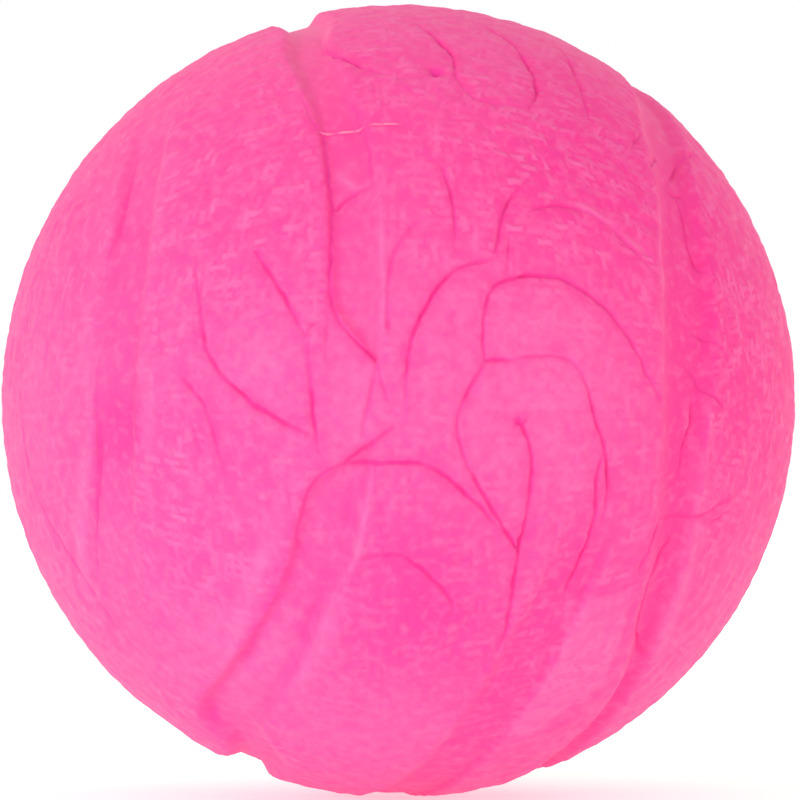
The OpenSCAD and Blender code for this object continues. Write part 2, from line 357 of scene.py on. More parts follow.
def golden_points(gap):
    count = round(4 * math.pi * BALL_R ** 2 / (gap ** 2 * math.sqrt(3) / 2))
    turns = np.arange(count) + 0.5
    height = 1 - 2 * turns / count
    angle = turns * math.pi * (3 - math.sqrt(5))
    ring = np.sqrt(1 - height ** 2)
    return np.stack([ring * np.cos(angle), ring * np.sin(angle), height], axis=1)


def wall_points(points):
    """The points that lie on or beside a channel's wall."""
    chosen = np.zeros(len(points), bool)
    for channel in CHANNELS.values():
        turn = np.arccos((points @ channel["pole"]).clip(-1, 1)) - math.radians(channel["angle"])
        for edge, wall, bends in (channel["near"], channel["far"]):
            off = turn * BALL_R / MM - edge
            for axis, amount, begin, end in bends:
                t = ((points[:, "XYZ".index(axis)] - begin) / (end - begin)).clip(0, 1)
                off -= amount * t * t * (3 - 2 * t)
            chosen |= np.abs(off) < wall / 2 + WALL_MARGIN
    return points[chosen]


panel_points = golden_points(PANEL_GAP)
steep_points = wall_points(golden_points(STEEP_GAP))
print(f"{len(panel_points)} points for the panels, {len(steep_points)} for the channel walls")

# %% Rows along the creases
ROW_OFFSETS = [offset * MM for offset in (0, -0.1, 0.1, -0.2, 0.2, -0.35, 0.35)]


def crease_rows(line, offset):
    """The line moved sideways on the ball by offset."""
    ahead = np.gradient(line[:, :3], axis=0)
    side = np.cross(line[:, :3], ahead)
    side /= np.linalg.norm(side, axis=1)[:, None]
    turn = offset / BALL_R
    return line[:, :3] * math.cos(turn) + side * math.sin(turn)


def spread(kept, cells, points, gap):
    """Adds to kept each point that is more than gap from all kept ones. cells sorts those by place."""
    near = [(x, y, z) for x in (-1, 0, 1) for y in (-1, 0, 1) for z in (-1, 0, 1)]
    for p in points:
        x, y, z = p * BALL_R
        cell = (round(x / PANEL_GAP), round(y / PANEL_GAP), round(z / PANEL_GAP))
        around = (cells.get((cell[0] + dx, cell[1] + dy, cell[2] + dz), ()) for dx, dy, dz in near)
        if all((x - a) ** 2 + (y - b) ** 2 + (z - c) ** 2 > gap ** 2 for row in around for a, b, c in row):
            cells.setdefault(cell, []).append((x, y, z))
            kept.append(p)


print(f"{len(ROW_OFFSETS)} rows along each line, the outermost {max(ROW_OFFSETS) / MM} mm from it")

# %% [markdown]
# A triangulation works on a flat map. Seen from above, a cap is flat as well, but its triangles would be
# wrong near the rim. The stereographic map keeps circles round, so what is right on that map is right on
# the ball too.

# %% Rims and caps
RIM_COUNT = 1000
KEEP_INSIDE = 1
MERGE_WITHIN = 1e-7


def chart(axis):
    """Two directions square to axis, so that the three are right-handed."""
    first = np.array([1.0, 0, 0])
    return first, np.cross(axis, first)


def rim_ring(axis, radius, height):
    """RIM_COUNT points of a ring round axis, in metres."""
    first, second = chart(axis)
    turn = np.arange(RIM_COUNT)[:, None] * 2 * math.pi / RIM_COUNT
    return radius * (np.cos(turn) * first + np.sin(turn) * second) + height * axis


def cap_triangles(axis, rim, inside):
    """Triangles of the rim ring's points followed by the inside points, all given as directions."""
    first, second = chart(axis)
    points = np.vstack([rim, inside])
    flat = np.stack([points @ first, points @ second], axis=1) / (1 + points @ axis)[:, None]
    outline = [list(range(len(rim)))]
    ways = [Vector(p) for p in flat]
    _, _, faces, origin, _, _ = delaunay_2d_cdt(ways, [], outline, KEEP_INSIDE, MERGE_WITHIN, True)
    return [[origin[i][0] for i in face] for face in faces]


print(f"{RIM_COUNT} points round each rim, {2 * math.pi * BALL_R / RIM_COUNT / MM:.2f} mm apart")

# %% Points of one half
RIM_MARGIN = 0.12 * MM
ROW_GAP = 0.085 * MM
# Points of one spread may come this share of its gap near to points that are there already
CLOSEST = 0.65


def outer_points(axis, rim_height):
    """Directions for one half's outer cap: rows along the lines, channel walls, then the open panels."""
    lowest = (rim_height + RIM_MARGIN) / BALL_R
    rim = rim_ring(axis, math.sqrt(BALL_R ** 2 - rim_height ** 2), rim_height) / BALL_R
    kept, cells = [], {}
    spread(kept, cells, rim, 0)
    rows = [(crease_rows(line, offset), ROW_GAP) for offset in ROW_OFFSETS for line in [*creases, *lips]]
    for points, gap in [*rows, (steep_points, CLOSEST * STEEP_GAP), (panel_points, CLOSEST * PANEL_GAP)]:
        spread(kept, cells, points[points @ axis > lowest], gap)
    return rim, np.array(kept[RIM_COUNT:])


print(f"points keep {ROW_GAP / MM:.3f} mm apart along the lines, {RIM_MARGIN / MM:.2f} mm off the rim")

# %% Blanks
WALL_GAP = 1.5 * MM


def in_scene(name, data):
    """A new object with this data, in the scene."""
    made = bpy.data.objects.new(name, data)
    bpy.context.scene.collection.objects.link(made)
    return made


def blank_object(name, points, faces, groups):
    """A smooth shaded object, with a sharp edge wherever two groups of faces meet."""
    mesh = bpy.data.meshes.new(name)
    mesh.from_pydata([tuple(p) for p in points], [], faces)
    shape = bmesh.new()
    shape.from_mesh(mesh)
    for face, group in zip(shape.faces, groups):
        face.smooth = True
        face.material_index = group
    for edge in shape.edges:
        edge.smooth = len({face.material_index for face in edge.link_faces}) == 1
    for face in shape.faces:
        face.material_index = 0
    open_edges = sum(not edge.is_manifold for edge in shape.edges)
    shape.to_mesh(mesh)
    shape.free()
    print(f"{name}: {sum(len(face) - 2 for face in faces)} triangles, {open_edges} open edges")
    return in_scene(name, mesh)


def half_blank(name, axis, rim_steps):
    """A closed half skin. rim_steps are the (radius, height) corners from the outside to the cavity."""
    rim, panels = outer_points(axis, rim_steps[0][1])
    points = [*(rim * BALL_R), *(panels * BALL_R)]
    faces = cap_triangles(axis, rim, panels)
    groups = [0] * len(faces)
    last = 0
    for step, (radius, height) in enumerate(rim_steps[1:], 1):
        here = len(points)
        points.extend(rim_ring(axis, radius, height))
        for i in range(RIM_COUNT):
            j = (i + 1) % RIM_COUNT
            faces.append([last + j, last + i, here + i, here + j])
            groups.append(step)
        last = here
    edge = np.array(points[last:]) / CAVITY_R
    wall = golden_points(WALL_GAP)
    wall = wall[wall @ axis > rim_steps[-1][1] / CAVITY_R + WALL_GAP / CAVITY_R / 2]
    inner = cap_triangles(axis, edge, wall)
    points.extend(wall * CAVITY_R)
    faces.extend([[last + i for i in reversed(face)] for face in inner])
    groups.extend([len(rim_steps)] * len(inner))
    return blank_object(name, points, faces, groups)


print(f"inner walls have a point every {WALL_GAP / MM:.1f} mm")

# %% [markdown]
# The two half skins differ only at the rim. A tongue stands on the upper one and fits a rebate in the lower
# one, so that they centre each other. A plain flat joint would be simpler, but the solids have this step.

# %% The two half skins
half_bond = BOND_T / 2
tongue_foot = half_bond - TONGUE_H
rebate_foot = half_bond + TONGUE_H
outer_rim_r = math.sqrt(BALL_R ** 2 - half_bond ** 2)
upper_skin = half_blank("moulded_upper_half", UP, [
    (outer_rim_r, half_bond),
    (STEP_R - half_bond, half_bond),
    (STEP_R - half_bond, tongue_foot),
    (math.sqrt(CAVITY_R ** 2 - tongue_foot ** 2), tongue_foot),
])
lower_skin = half_blank("moulded_lower_half", -UP, [
    (outer_rim_r, half_bond),
    (STEP_R + half_bond, half_bond),
    (STEP_R + half_bond, rebate_foot),
    (math.sqrt(CAVITY_R ** 2 - rebate_foot ** 2), rebate_foot),
])

# %% [markdown]
# The bond is the thin film of cement and pressed-out rubber between the two rims. It is trimmed flush on
# the panels and stands a little proud as flash in the channels, where the trimming knife doesn't reach. It
# could be a swept profile, but it needs as many columns as the rims, so that its edge meets theirs point
# for point.

# %% Blank for the bond


def bond_blank():
    corners = [
        (outer_rim_r, half_bond), (BALL_R, 0), (outer_rim_r, -half_bond),
        (STEP_R + half_bond, -half_bond), (STEP_R + half_bond, -rebate_foot),
        (math.sqrt(CAVITY_R ** 2 - rebate_foot ** 2), -rebate_foot),
        (math.sqrt(CAVITY_R ** 2 - tongue_foot ** 2), tongue_foot),
        (STEP_R - half_bond, tongue_foot), (STEP_R - half_bond, half_bond),
    ]
    points = [p for radius, height in corners for p in rim_ring(UP, radius, height)]
    faces, groups = [], []
    for k in range(len(corners)):
        here, after = k * RIM_COUNT, (k + 1) % len(corners) * RIM_COUNT
        for i in range(RIM_COUNT):
            j = (i + 1) % RIM_COUNT
            faces.append([here + i, after + i, after + j, here + j])
            groups.append(max(k, 1))
    return blank_object("trimmed_bond", points, faces, groups)


bond = bond_blank()

# %% [markdown]
# The pink isn't even, and the grain is crisper where the mould is less worn. A painted picture could hold
# that, but listed soft spots need no file: a tone above 0 is a deeper pink, one below 0 a paler one, and
# grain adds to or takes from the usual grain. Tone is partly the pink and partly painted light: the deeper
# spots on the right side, at its rim and at the upper right are painted shade, and the paler ones at the
# bottom and in the lower first channel are painted light. The left panel has a paler pad with little grain.

# %% Spots of tone and grain
USUAL_GRAIN = 0.5
MOST_GRAIN = 1.2
# Longitude, latitude, radius in mm, tone, which is partly painted shade and light, and grain
SPOTS = [
    (24, 30, 8.5, 0.6, 0.35), (-10, 44, 6, 0.2, 0), (-27, 27, 8, 0.2, 0.35), (4, -24, 6, 0.35, -0.1),
    (3, -32, 7, 0.55, -0.15), (-32, -14, 6, 0.15, 0.2), (-19.5, 5, 3.2, -0.6, -0.3),
    (-57, -5, 10, -0.25, -0.15), (-6, 0, 3.5, -0.4, -0.5),
    (36, -36, 4.5, 0, 0.2), (62, 8, 10, 0.4, 0.2), (-5, -57, 9, -0.5, -0.25), (-36, -41, 7, -0.35, -0.1),
    (-25, -37, 4, -0.5, 0), (25, 3, 10, -0.6, 0), (5, 60, 8, 0.1, 0.1), (-42.5, -3.5, 3.5, 1.2, 0),
    (60, 2, 20, 0.6, 0), (48, 40, 11, 0.8, 0), (78, 5, 10, 0.6, 0), (12, 10, 11, -0.3, 0),
]
# Corners of a paler plate between the lower right channels, and of its foot, and how soft the edges are
PLATE = [(28, -29), (39.5, -27), (42, -35.5), (44, -45), (36.5, -45)]
PLATE_FOOT = [(30, -35), (39, -38), (42, -46), (31.5, -55.5), (27.5, -53)]
PLATE_TONE = -0.7
PLATE_EDGE = 0.35 * MM
print(f"{len(SPOTS)} spots and a paler plate with {len(PLATE) + len(PLATE_FOOT)} corners")

# %% Put the spots on the blanks


def in_plate(points, corners):
    """How far each point is inside the corners, from 0 to 1."""
    ways = [toward(*corner) for corner in corners]
    share = np.ones(len(points))
    for a, b in zip(ways, [*ways[1:], ways[0]]):
        side = np.cross(a, b)
        side *= np.sign(side @ sum(ways)) / np.linalg.norm(side)
        share *= ((points @ side) * BALL_R / PLATE_EDGE + 0.5).clip(0, 1)
    return share


def add_spots(piece):
    points = np.array([vertex.co for vertex in piece.data.vertices])
    points /= np.linalg.norm(points, axis=1)[:, None]
    tone_and_shading, grain = np.zeros(len(points)), np.full(len(points), USUAL_GRAIN)
    for way in (1, -1):
        ways = points * (1, way, way)
        tone_and_shading += PLATE_TONE * np.maximum(in_plate(ways, PLATE), in_plate(ways, PLATE_FOOT))
    for lon, lat, radius, deeper, crisper in SPOTS:
        for place in ((lon, lat), (180 - lon, -lat)):
            off = np.arccos((points @ toward(*place)).clip(-1, 1)) * BALL_R / (radius * MM)
            tone_and_shading += deeper * np.exp(-off ** 2)
            grain += crisper * np.exp(-off ** 2)
    for name, values in (("tone_and_shading", tone_and_shading), ("grain", grain.clip(0, MOST_GRAIN))):
        attribute = piece.data.attributes.new(name, "FLOAT", "POINT")
        attribute.data.foreach_set("value", values.astype(np.float32))
    print(f"{piece.name}: tone {tone_and_shading.min():.2f} to {tone_and_shading.max():.2f}, grain up to {grain.max():.2f}")


for piece in (upper_skin, lower_skin, bond):
    add_spots(piece)

# %% [markdown]
# The relief could be sculpted, but then it would never be alike on both halves and the bond, which have to
# meet after it. It follows a rule, so Geometry Nodes press it in: how deep a point goes depends only on how
# far it is from the channels, the creases and the lips. The tree also stores those shares for the material.
# A few helpers come first, because nodes added by script repeat the same steps.

# %% Helpers for every node tree
# The kinds of node that are used most
MATH = "ShaderNodeMath"
VECTOR = "ShaderNodeVectorMath"
RANGE = "ShaderNodeMapRange"
NOISE = "ShaderNodeTexNoise"


def add(tree, kind, *values, **settings):
    """Adds a node. Values go to its sockets in order, or by name if they come in a dict. A value is a
    number, a socket, or a node, of which the first output is taken."""
    node = tree.nodes.new(kind)
    for key, value in settings.items():
        setattr(node, key, value)
    for number, value in enumerate(values):
        for key, part in (value if isinstance(value, dict) else {number: value}).items():
            if isinstance(part, bpy.types.Node):
                part = part.outputs[0]
            if isinstance(part, bpy.types.NodeSocket):
                tree.links.new(part, node.inputs[key])
            else:
                node.inputs[key].default_value = part
    return node


def joined(tree, kind, values, *rest, **settings):
    """Nodes of one kind in a row, each of which joins the next value to the result so far."""
    result = values[0]
    for value in values[1:]:
        result = add(tree, kind, result, value, *rest, **settings)
    return result


def jittered(tree, place, pattern, scale, reach):
    """A place moved by a noise that is read at pattern. reach is the whole way that it can move."""
    noise = add(tree, NOISE, {"Vector": pattern, "Scale": scale, "Detail": 1.0})
    centred = add(tree, VECTOR, noise.outputs["Color"], (0.5,) * 3, operation="SUBTRACT")
    moved = add(tree, VECTOR, centred, {"Scale": reach}, operation="SCALE")
    return add(tree, VECTOR, place, moved, operation="ADD")


print("node trees are made in Blender", bpy.app.version_string)

# %% Start, end and use of a Geometry Nodes tree


def start_tree(name, objects, lengths):
    """A tree with a named input for each object and length and for the finish, and those inputs."""
    tree = bpy.data.node_groups.new(name, "GeometryNodeTree")
    kinds = {"Geometry": "Geometry", **dict.fromkeys(objects, "Object"), **dict.fromkeys(lengths, "Float")}
    for socket, kind in {**kinds, "Finish": "Material"}.items():
        tree.interface.new_socket(socket, in_out="INPUT", socket_type="NodeSocket" + kind)
    tree.interface.new_socket("Geometry", in_out="OUTPUT", socket_type="NodeSocketGeometry")
    return tree, add(tree, "NodeGroupInput").outputs


def end_tree(tree, given, shares, out, depth, chosen=True):
    """Stores the shares for the material, moves the chosen points inward by depth, sets the finish."""
    shape = given["Geometry"]
    for name, share in shares.items():
        shape = add(tree, "GeometryNodeStoreNamedAttribute", {
            "Geometry": shape, "Name": name, "Value": share,
        }, data_type="FLOAT", domain="POINT")
    inward = add(tree, MATH, depth, -1.0, operation="MULTIPLY")
    offset = add(tree, VECTOR, out, {"Scale": inward}, operation="SCALE")
    shape = add(tree, "GeometryNodeSetPosition", {"Geometry": shape, "Selection": chosen, "Offset": offset})
    shape = add(tree, "GeometryNodeRealizeInstances", {"Geometry": shape})
    shape = add(tree, "GeometryNodeSetMaterial", {"Geometry": shape, "Material": given["Finish"]})
    add(tree, "NodeGroupOutput", {"Geometry": shape})
    print(f"{tree.name}: {len(tree.nodes)} nodes")


def run_tree(tree, piece, values):
    """Makes what the tree does to a piece its plain mesh. values are the tree's inputs by name."""
    sockets = {item.name: item.identifier for item in tree.interface.items_tree if item.in_out == "INPUT"}
    press = piece.modifiers.new(tree.name, "NODES")
    press.node_group = tree
    for name, value in values.items():
        press[sockets[name]] = value
    graph = bpy.context.evaluated_depsgraph_get()
    pressed = piece.evaluated_get(graph)
    mesh = bpy.data.meshes.new_from_object(pressed, preserve_all_data_layers=True, depsgraph=graph)
    piece.modifiers.clear()
    piece.data = mesh


# %% [markdown]
# At the front a thick web of rubber crosses the first channel and nearly fills it. It could be a piece of
# its own, but it is one with the skin, so it is a place where the channel goes less deep. It lies between
# two lines on the ball, each through two places, and near a middle.

# %% Web across the first channel
WEB_EDGES = (((-9.5, 14), (-3, 5.5)), ((0, -3), (-7.5, -8.5)))
WEB_MIDDLE = toward(-6, 2)
# Cosines of the angle from the middle, parts of the radius from an edge, and shares of the depth
WEB_REACH = {"From Min": 0.93, "From Max": 0.95}
WEB_FADE = {"From Min": 0.012, "From Max": -0.012}
WEB_LEAVES = {"To Min": 1.0, "To Max": 0.2}


def web_share(tree, out):
    """How much of a point is web, from 0 to 1."""
    near = add(tree, VECTOR, out, WEB_MIDDLE, operation="DOT_PRODUCT")
    shares = [add(tree, RANGE, near.outputs["Value"], WEB_REACH)]
    for a, b in WEB_EDGES:
        side = np.cross(toward(*a), toward(*b))
        side /= np.linalg.norm(side)
        past = add(tree, VECTOR, out, side, operation="DOT_PRODUCT").outputs["Value"]
        shares.append(add(tree, RANGE, past, WEB_FADE, interpolation_type="SMOOTHSTEP"))
    return joined(tree, MATH, shares, operation="MULTIPLY")


print("middle of the web:", np.round(WEB_MIDDLE, 3))

# %% [markdown]
# A channel's floor lies between its two edges. A sharp yes or no would leave steps in the mesh, so each
# edge is a smooth slope from 0 to 1, as wide as its wall, and the two multiplied are the floor.

# %% Between a channel's edges


def channel_floor(tree, given, bent, axes, channel):
    """How much of a point is floor, from 0 to 1, and how far it is past the near edge, in metres."""
    dot = add(tree, VECTOR, bent, channel["pole"], operation="DOT_PRODUCT")
    turn = add(tree, MATH, dot.outputs["Value"], operation="ARCCOSINE")
    off = add(tree, MATH, turn, math.radians(channel["angle"]), operation="SUBTRACT")
    away = add(tree, MATH, off, given["Ball radius"], operation="MULTIPLY")
    past, shares = [], []
    for side, way in (("near", 1), ("far", -1)):
        edge, wall, bends = channel[side]
        moves = [add(tree, RANGE, {
            "Value": axes[axis], "From Min": begin, "From Max": end, "To Max": amount * MM,
        }, interpolation_type="SMOOTHSTEP") for axis, amount, begin, end in bends]
        past.append(joined(tree, MATH, [away, edge * MM, *moves], operation="SUBTRACT"))
        half = way * wall * MM / 2
        slope = {"From Min": -half, "From Max": half}
        shares.append(add(tree, RANGE, past[-1], slope, interpolation_type="SMOOTHERSTEP"))
    return joined(tree, MATH, shares, operation="MULTIPLY"), past[0]


for name, channel in CHANNELS.items():
    print(f"{name}: walls {channel['near'][1]} and {channel['far'][1]} mm wide")

# %% Where a channel ends
# The band's side is in metres past the first channel's edge, its ends are heights, as parts of the radius
BAND_SIDE = {"From Min": 1.0 * MM, "From Max": -0.5 * MM}
BAND_ENDS = (
    {"From Min": -0.1, "From Max": -0.32, "To Min": 1.0, "To Max": 0.25},
    {"From Min": 0.58, "From Max": 0.76, "To Min": 1.0, "To Max": 0.0},
)
LOWER_MIDDLE = toward(16, -60)
LOWER_REACH = {"From Min": 0.66, "From Max": 0.82}


def channel_limits(tree, name, out, height, past_first):
    """Shares that hold a channel back. past_first is the way past the first channel's near edge."""
    if name == "First channel":
        return [add(tree, RANGE, web_share(tree, out), WEB_LEAVES)]
    # The band lies only on the first channel's own cap, and runs out above and below
    if name == "Band":
        ends = [add(tree, RANGE, height, end, interpolation_type="SMOOTHSTEP") for end in BAND_ENDS]
        return [add(tree, RANGE, past_first, BAND_SIDE), *ends]
    if name == "Lower channel":
        near = add(tree, VECTOR, out, LOWER_MIDDLE, operation="DOT_PRODUCT").outputs["Value"]
        return [add(tree, RANGE, near, LOWER_REACH, interpolation_type="SMOOTHSTEP")]
    return []


print("middle of the lower channel:", np.round(LOWER_MIDDLE, 3))

# %% All channels together
WANDER_SIZE = 8 * MM
CHANNEL_BLEND = 0.1 * MM
# Parts of the radius toward the front or back, parts of the radius below the middle, and a share of floor
FRONT_FADE = {"From Min": 0.4, "From Max": 0.8}
WORN_BELOW = {"From Min": -0.05, "From Max": -0.2}
BARE_FROM = {"From Max": 0.3}


def channel_shares(tree, given, out):
    """The channels' depth, the grain that they lose, their deeper pink as painted shade, and the first
    one's floor.
    """
    # The channels wander a little, as hand-cut mould work does
    reach = add(tree, MATH, given["Wander"], given["Ball radius"], operation="DIVIDE")
    bent = jittered(tree, out, out, BALL_R / WANDER_SIZE, reach)
    bent = add(tree, VECTOR, bent, operation="NORMALIZE")
    axes = add(tree, "ShaderNodeSeparateXYZ", out).outputs
    frontness = add(tree, MATH, axes["Y"], operation="ABSOLUTE")
    floors, past, depths, smooths, tints = {}, {}, [], [], []
    for name, channel in CHANNELS.items():
        floor, past[name] = channel_floor(tree, given, bent, axes, channel)
        limits = channel_limits(tree, name, out, axes["Z"], past["First channel"])
        floor = floors[name] = joined(tree, MATH, [floor, *limits], operation="MULTIPLY")
        deepest = channel["depth"] * MM
        depth = add(tree, RANGE, frontness, FRONT_FADE, {
            "To Min": deepest, "To Max": deepest * channel["front"],
        }, interpolation_type="SMOOTHSTEP")
        depths.append(add(tree, MATH, floor, depth, operation="MULTIPLY"))
        # The grain is gone already near the top of a wall
        above, below = channel["smooth"]
        worn = add(tree, RANGE, axes["Z"], WORN_BELOW, {"To Min": above, "To Max": below})
        bare = add(tree, RANGE, floor, BARE_FROM)
        smooths.append(add(tree, MATH, bare, worn, operation="MULTIPLY"))
        # The deeper pink of a floor is painted shade in the hollow
        tints.append(add(tree, MATH, floor, channel["tint"], operation="MULTIPLY"))
    hollow = joined(tree, MATH, depths, CHANNEL_BLEND, operation="SMOOTH_MAX")
    smooth = joined(tree, MATH, smooths, operation="MAXIMUM")
    shade = joined(tree, MATH, tints, operation="MAXIMUM")
    return hollow, smooth, shade, floors["First channel"]


print(f"channels wander over {WANDER_SIZE / MM:.0f} mm and blend over {CHANNEL_BLEND / MM:.1f} mm")

# %% [markdown]
# The tree needs the creases and lips as geometry. A curve with a profile would have to be cut out of the
# skin, and such cuts fail easily. Loose edges are enough, because the tree only asks how far the nearest
# one is and how strong it is there. A line is strongest on itself and gone at half its width.

# %% Creases and lips for the tree


def line_object(name, lines):
    """Loose edges along the lines, with each point's strength and width as attributes."""
    mesh = bpy.data.meshes.new(name)
    points, edges = [], []
    for line in lines:
        edges.extend((len(points) + i, len(points) + i + 1) for i in range(len(line) - 1))
        points.extend(line[:, :3] * BALL_R)
    mesh.from_pydata([tuple(p) for p in points], edges, [])
    for column, attribute in ((3, "strength"), (4, "width")):
        values = np.concatenate([line[:, column] for line in lines]).clip(0).astype(np.float32)
        mesh.attributes.new(attribute, "FLOAT", "POINT").data.foreach_set("value", values)
    return in_scene(name, mesh)


def line_shares(tree, lines, where, cut):
    """How far the nearest line is, how strong it is there, and how much of a point it takes, from 0 up."""
    lines = add(tree, "GeometryNodeObjectInfo", {"Object": lines}).outputs["Geometry"]
    distance = add(tree, "GeometryNodeProximity", {
        0: lines, "Source Position": where,
    }, target_element="EDGES").outputs["Distance"]
    nearest = add(tree, "GeometryNodeSampleNearest", {
        "Geometry": lines, "Sample Position": where,
    }, domain="POINT")
    sampled = []
    for attribute in ("strength", "width"):
        value = add(tree, "GeometryNodeInputNamedAttribute", {"Name": attribute}, data_type="FLOAT")
        sampled.append(add(tree, "GeometryNodeSampleIndex", {
            "Geometry": lines, "Value": value, "Index": nearest,
        }, data_type="FLOAT", domain="POINT"))
    strength = add(tree, MATH, sampled[0], cut, operation="MULTIPLY")
    half = add(tree, MATH, sampled[1], 0.5, operation="MULTIPLY")
    fade = {"From Min": half, "From Max": 0.0}
    share = add(tree, RANGE, distance, fade, interpolation_type="SMOOTHSTEP")
    return distance, strength, add(tree, MATH, share, strength, operation="MULTIPLY")


print(f"{sum(map(len, creases))} points along the creases, {sum(map(len, lips))} along the lips")

# %% Flash that the trimming left
FLASH_MIDDLE = toward(-2.5, 41.5)
FLASH_REACH = 1.4 * MM / BALL_R
FLASH_FADE = {"From Min": math.cos(FLASH_REACH), "From Max": math.cos(FLASH_REACH / 2)}
TORN = {"From Min": 0.35, "From Max": 0.6, "To Min": 0.15}


def flash_left(tree, out, first, noise):
    """Flash in the first channel and on a short stretch of panel beside it, torn by the trimming."""
    beside = add(tree, VECTOR, out, FLASH_MIDDLE, operation="DOT_PRODUCT")
    left = add(tree, RANGE, beside.outputs["Value"], FLASH_FADE)
    left = add(tree, MATH, left, first, operation="MAXIMUM")
    torn = add(tree, RANGE, noise, TORN)
    return add(tree, MATH, left, torn, operation="MULTIPLY")


print(f"flash is left within {FLASH_REACH * BALL_R / MM:.1f} mm of {np.round(FLASH_MIDDLE, 3)}")

# %% [markdown]
# Now the tree itself. Each kind of relief could have a tree of its own, but one tree can add all the depths
# and move every point once. Its lengths are inputs with names, so that they can be tried out in the
# modifier.

# %% Sizes of the relief
RELIEF = {
    "Ball radius": BALL_R,
    "Crease depth": 0.25 * MM,
    "Shoulder width": 1.5 * MM,
    "Shoulder depth": 0.1 * MM,
    "Lip height": 0.08 * MM,
    "Wander": 0.3 * MM,
    "Swell": 0.1 * MM,
    "Waver": 0.35 * MM,
    "Roughness": 0.4 * MM,
    "Flash height": 0.0,
}
# How far apart the marks of each kind of unevenness lie
MARKS = {"cut": 1.9 * MM, "swell": 6 * MM, "rough": 1.4 * MM, "torn": 0.65 * MM}
WAVER_SIZE = 1.25 * MM
CUT_RANGE = {"From Min": 0.3, "From Max": 0.7, "To Min": 0.6, "To Max": 1.3}
EVEN_ROUGH = 0.45
# Points nearer the centre than this part of the radius belong to the rim and the inside
SKIN_FROM = 0.99
print("relief in mm:", {name: round(length / MM, 2) for name, length in RELIEF.items()})

# %% The relief tree


def relief_tree():
    tree, given = start_tree("moulded relief", ("Crease lines", "Lip lines"), RELIEF)
    place = add(tree, "GeometryNodeInputPosition")
    out = add(tree, VECTOR, place, operation="NORMALIZE")
    size = add(tree, VECTOR, place, operation="LENGTH").outputs["Value"]
    inner_limit = add(tree, MATH, given["Ball radius"], SKIN_FROM, operation="MULTIPLY")
    on_skin = add(tree, MATH, size, inner_limit, operation="GREATER_THAN")
    noises = {}
    for name, apart in MARKS.items():
        noises[name] = add(tree, NOISE, {"Vector": out, "Scale": BALL_R / apart, "Detail": 1.0})
    hollow, floor, shade, first = channel_shares(tree, given, out)

    # The lines waver, and come and go, as worn cuts do
    wavered = jittered(tree, place, out, BALL_R / WAVER_SIZE, given["Waver"])
    wavered = add(tree, VECTOR, wavered, operation="NORMALIZE")
    wavered = add(tree, VECTOR, wavered, {"Scale": size}, operation="SCALE")
    cut = add(tree, RANGE, noises["cut"], CUT_RANGE)
    distance, strength, groove = line_shares(tree, given["Crease lines"], wavered, cut)
    _, _, lip = line_shares(tree, given["Lip lines"], wavered, cut)
    # A crease lies between shoulders that roll down to it
    roll = add(tree, RANGE, distance, {"From Min": given["Shoulder width"], "From Max": 0.0})
    roll = add(tree, MATH, roll, 2.0, operation="POWER")
    roll = add(tree, MATH, roll, strength, operation="MULTIPLY")
    # Soft foam shrinks unevenly, so the panels swell and sink slowly, and their grain roughens the outline
    panel = add(tree, MATH, 1.0, floor, operation="SUBTRACT")
    rough = add(tree, MATH, noises["rough"], EVEN_ROUGH, operation="SUBTRACT")
    rough = add(tree, MATH, rough, panel, operation="MULTIPLY")
    flash = flash_left(tree, out, first, noises["torn"])

    sunk, raised = [hollow], []
    for kind, share, length in (
        (sunk, groove, "Crease depth"), (sunk, roll, "Shoulder depth"), (sunk, noises["swell"], "Swell"),
        (sunk, rough, "Roughness"), (raised, lip, "Lip height"), (raised, flash, "Flash height"),
    ):
        kind.append(add(tree, MATH, share, given[length], operation="MULTIPLY"))
    depth = joined(tree, MATH, sunk, operation="ADD")
    depth = joined(tree, MATH, [depth, *raised], operation="SUBTRACT")
    # The material paints shade from the shade, crease and roll shares, and a highlight from lip
    shares = {"floor": floor, "shade": shade, "flash": flash, "crease": groove, "roll": roll, "lip": lip}
    for name, share in shares.items():
        shares[name] = add(tree, MATH, share, on_skin, operation="MULTIPLY")
    end_tree(tree, given, shares, out, depth, on_skin)
    return tree


relief = relief_tree()

# %% [markdown]
# The rubber is foamed, pigmented all through and moulded against a mould whose panels have a canvas grain.
# The eye sees a saturated pink under a thin pale veil of scattered light, paler threads on the panels,
# smooth channel floors, and a deeper pink in the creases, where light passes from wall to wall. Light under
# the skin could be traced, but slowly, and on so opaque a rubber the tints give the eye the same. So that
# light and the shade in the creases, on their shoulders and on the channel floors are painted into the
# pink, and the paler raised threads and lips are a painted highlight.

# %% Colours
def linear(hex_colour):
    """An sRGB hex colour as linear red, green, blue and alpha."""
    parts = [int(hex_colour[i:i + 2], 16) / 255 for i in (1, 3, 5)]
    return (*[c / 12.92 if c <= 0.04045 else ((c + 0.055) / 1.055) ** 2.4 for c in parts], 1.0)


PANEL_PINK = linear("#fc4da1")
# Partly pigment, and partly painted shade on channel floors and crease shoulders
DEEP_PINK = linear("#fb2a95")
# Painted shade and light passed from wall to wall in the creases, and the skin's deep marks
CREASE_PINK = linear("#f52da2")
# Partly a painted highlight on raised lips and threads, and partly pale spots and marks
PALE_PINK = linear("#fd70b6")
FLASH_PINK = linear("#ffb0d2")
FOAM_PINK = linear("#f7a3c0")
print("linear pink of the panels:", [round(part, 3) for part in PANEL_PINK[:3]])

# %% [markdown]
# The canvas grain is a plain weave: in each cell either the thread that runs across or the one that runs up
# lies on top. Two brick patterns draw those threads, one turned by a quarter. The pattern can't be laid
# flat on a whole ball, so it is worked out on six sides, as on a cube, and each point takes the side that
# it faces.

